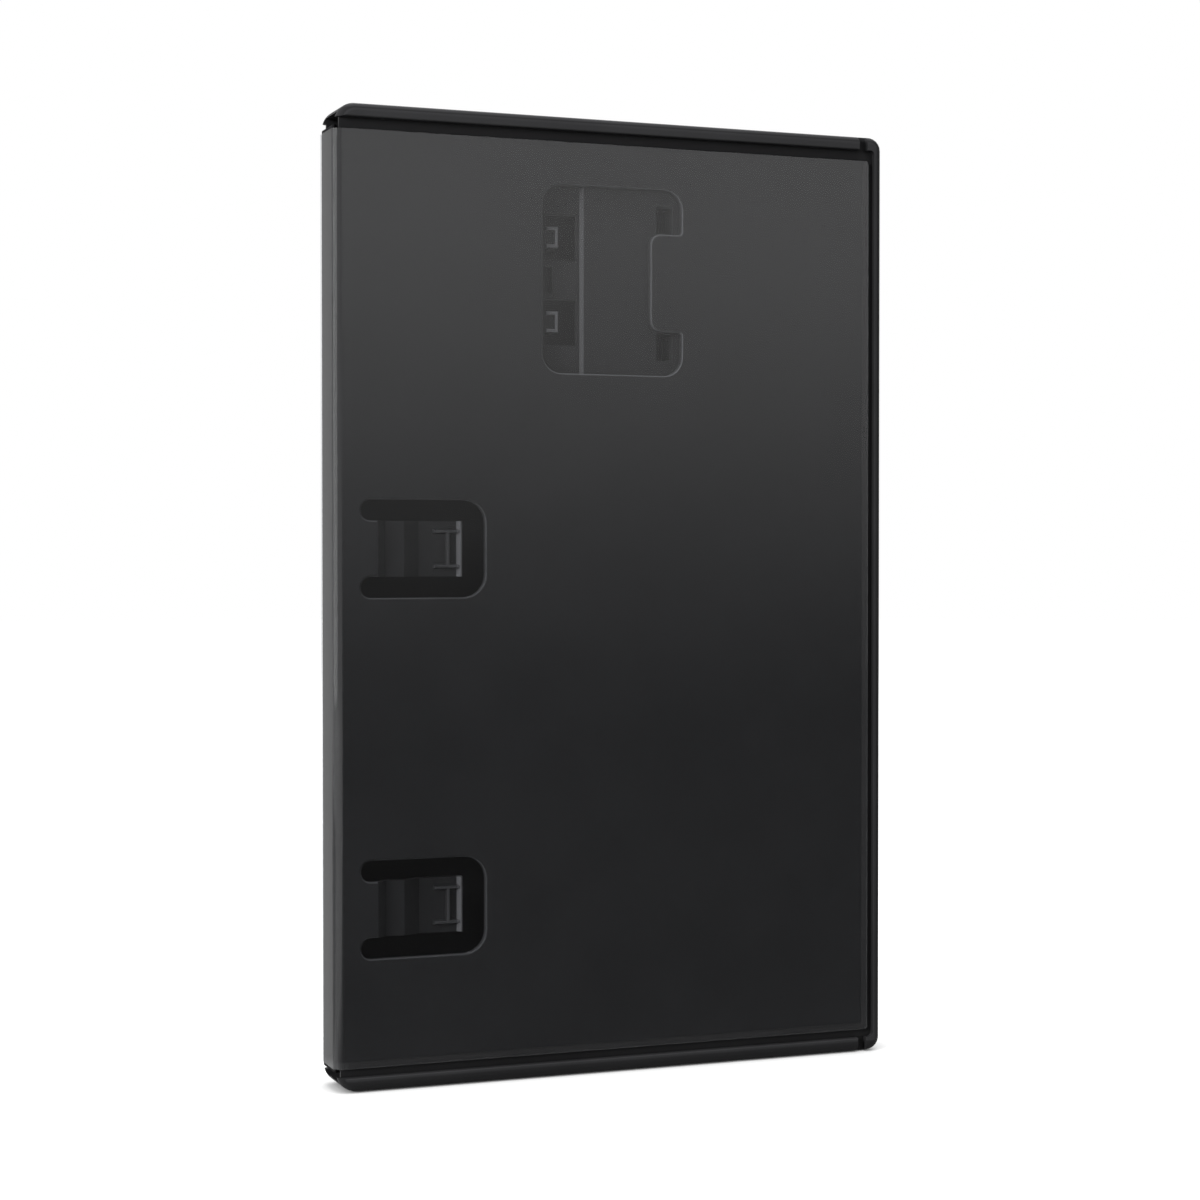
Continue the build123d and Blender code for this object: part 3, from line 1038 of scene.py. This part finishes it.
def floor_paint():
    """Pale floor that looks white and keeps a faint shadow, partly lit and partly painted.
    """
    material, graph = new_material("pale_floor")
    pale = graph.add("ShaderNodeBsdfDiffuse", {"Color": FLOOR_PALE})
    shadow = graph.add("ShaderNodeBsdfDiffuse", {"Color": FLOOR_SEEN})
    # Painted contact shadow: ambient occlusion darkens the glow where the case is near,
    # also as seen in reflections
    near = graph.add(
        "ShaderNodeAmbientOcclusion",
        {"Distance": PAINTED_SHADOW_REACH},
        samples=PAINTED_SHADOW_SAMPLES,
    )
    strength = graph.math("MULTIPLY", near.outputs["AO"], FLOOR_GLOW)
    glow = graph.add("ShaderNodeEmission", {"Strength": strength})
    white = graph.add("ShaderNodeAddShader", {0: shadow.outputs[0], 1: glow.outputs[0]})
    shader = graph.add(
        "ShaderNodeMixShader",
        {0: seen_directly(graph), 1: pale.outputs[0], 2: white.outputs[0]},
    )
    set_surface(graph, shader.outputs[0])
    return material


def screen_paint(name, low, high, left, right, settings):
    """Glowing screen from one brightness on the floor to another at its top, a painted
    reflection.

    Its edges fade out, so that no hard outline shows in the film.
    """
    material, graph = new_material(name)
    x, y, z = graph.add("ShaderNodeSeparateXYZ", {0: place_of(graph)}).outputs
    shade = low if low == high else graph.ramp(z, *SCREEN_SPAN, low, high)
    light = graph.add("ShaderNodeEmission", {"Strength": shade})
    inset = graph.math(
        "MINIMUM", graph.math("SUBTRACT", x, left), graph.math("SUBTRACT", right, x)
    )
    start, top = CAD_BOX[1].y + settings.screen_start, settings.screen_height
    reach = graph.math("ABSOLUTE", y)
    fades = (
        graph.ramp(inset, 0.0, SCREEN_SIDE_FADE, 0.0, 1.0),
        graph.ramp(reach, start, start + SCREEN_NEAR_FADE, 0.0, 1.0),
        graph.ramp(z, top, top - SCREEN_TOP_FADE, 0.0, 1.0),
    )
    share = graph.math("MULTIPLY", graph.math("MULTIPLY", *fades[:2]), fades[2])
    clear = graph.add("ShaderNodeBsdfTransparent")
    shader = graph.add(
        "ShaderNodeMixShader", {0: share, 1: clear.outputs[0], 2: light.outputs[0]}
    )
    set_surface(graph, shader.outputs[0])
    return material


def stage_mesh(name, points, faces, paint):
    """A stage piece from its points and faces."""
    mesh = bpy.data.meshes.new(name)
    mesh.from_pydata(points, [], faces)
    mesh.materials.append(paint)
    piece = bpy.data.objects.new(name, mesh)
    bpy.context.scene.collection.objects.link(piece)
    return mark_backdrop(piece) or piece


def make_floor(settings):
    """A round pale floor just below the foot of the case."""
    turns = [2 * math.pi * i / FLOOR_SIDES for i in range(FLOOR_SIDES)]
    radius = settings.floor_radius
    points = [(radius * math.cos(t), radius * math.sin(t), -FLOOR_BELOW) for t in turns]
    stage_mesh("floor", points, [tuple(range(FLOOR_SIDES))], floor_paint())


def make_screen(name, side, left, right, paint, settings):
    """A glowing screen on one side of the case, which only reflections show: a painted
    reflection that lights nothing.

    It lies on the floor from the cover outwards, then bends up.
    """
    far, bend = settings.screen_distance, SCREEN_BEND
    path = [(CAD_BOX[1].y + settings.screen_start, 0.0)]
    for row in range(SCREEN_ROWS + 1):
        turn = math.pi / 2 * row / SCREEN_ROWS
        path.append((far - bend + bend * math.sin(turn), bend - bend * math.cos(turn)))
    path.append((far, settings.screen_height))
    points = [
        (x, side * reach, height) for x in (left, right) for reach, height in path
    ]
    count = len(path)
    faces = [(i, i + 1, count + i + 1, count + i) for i in range(count - 1)]
    screen = stage_mesh(name, points, faces, paint)
    screen.visible_camera = False
    screen.visible_diffuse = False
    screen.visible_shadow = False
    screen.visible_transmission = False


def soft_lamp(name, place, width, height, level, mirrored):
    """A rectangular soft lamp whose face has the given brightness.

    A lamp that isn't mirrored lights the case without showing in its gloss.
    """
    data = bpy.data.lights.new(name, "AREA")
    data.shape = "RECTANGLE"
    data.size, data.size_y = width, height
    data.energy = level * math.pi * width * height
    lamp = bpy.data.objects.new(name, data)
    lamp.location = place
    aim = LAMP_TARGET - Vector(place)
    lamp.rotation_mode = "QUATERNION"
    lamp.rotation_quaternion = aim.to_track_quat("-Z", "Y")
    lamp.visible_glossy = mirrored
    bpy.context.scene.collection.objects.link(lamp)


def make_camera(settings):
    """A camera at the viewing angle of the picture."""
    low, high = CAD_BOX
    centre = (Vector(low) + Vector(high)) / 2
    across = math.cos(settings.elevation)
    away = Vector(
        (
            math.sin(settings.azimuth) * across,
            -math.cos(settings.azimuth) * across,
            math.sin(settings.elevation),
        )
    )
    data = bpy.data.cameras.new("camera")
    data.sensor_width = SENSOR_WIDTH
    data.lens = settings.focal
    data.shift_x = -settings.offset_right / FRAME_PIXELS
    data.shift_y = -settings.offset_up / FRAME_PIXELS
    data.clip_start, data.clip_end = CLIP_RANGE
    camera = bpy.data.objects.new("camera", data)
    camera.location = centre + away * settings.distance
    camera.rotation_mode = "QUATERNION"
    camera.rotation_quaternion = (-away).to_track_quat("-Z", "Y")
    bpy.context.scene.collection.objects.link(camera)
    bpy.context.scene.camera = camera


class CASE_OT_stage(bpy.types.Operator):
    """Set up the camera, the pale floor, the screens and the soft lamps"""

    bl_idname = "case.stage"
    bl_label = "Set Up Stage"

    def execute(self, context):
        settings = context.scene.case_stage
        context.scene.view_settings.view_transform = "Standard"
        context.scene.world = white_world(settings)
        make_camera(settings)
        make_floor(settings)
        low, high = settings.screen_low, settings.screen_high
        left, right = settings.screen_left, settings.screen_right
        # Painted reflections: a glowing screen in front, dark on the floor and light
        # above, and a grey one behind
        graded = screen_paint("painted_reflection_graded", low, high, left, right, settings)
        make_screen("front_reflection_screen", -1.0, left, right, graded, settings)
        level, wide = settings.back_level, settings.back_width
        grey = screen_paint("painted_reflection_grey", level, level, -wide, wide, settings)
        make_screen("back_reflection_screen", 1.0, -wide, wide, grey, settings)
        for lamp in LAMPS:
            soft_lamp(*lamp)
        return {"FINISHED"}


class CASE_PT_panel(bpy.types.Panel):
    """Lists the steps that dress the case."""

    bl_idname = "CASE_PT_panel"
    bl_label = "Card Case"
    bl_space_type = "VIEW_3D"
    bl_region_type = "UI"
    bl_category = "Card Case"

    def draw(self, context):
        for step in STEPS:
            self.layout.operator(step.bl_idname)
        for name in SETTINGS:
            group = getattr(context.scene, name)
            box = self.layout.box()
            for field in group.bl_rna.properties.keys():
                if field not in ("rna_type", "name"):
                    box.prop(group, field)


STEPS = (CASE_OT_mouldings, CASE_OT_hinge_webs, CASE_OT_film, CASE_OT_stage)
SETTINGS = {
    "case_plastic": CasePlasticSettings,
    "case_film": CaseFilmSettings,
    "case_stage": CaseStageSettings,
}
CLASSES = (*SETTINGS.values(), *STEPS, CASE_PT_panel)


def register():
    for cls in CLASSES:
        bpy.utils.register_class(cls)
    for name, group in SETTINGS.items():
        setattr(bpy.types.Scene, name, PointerProperty(type=group))


def unregister():
    for name in SETTINGS:
        delattr(bpy.types.Scene, name)
    for cls in reversed(CLASSES):
        bpy.utils.unregister_class(cls)


def main():
    register()
    bpy.ops.case.mouldings()
    bpy.ops.case.hinge_webs()
    bpy.ops.case.film()
    bpy.ops.case.stage()


if __name__ == "__main__":
    main()
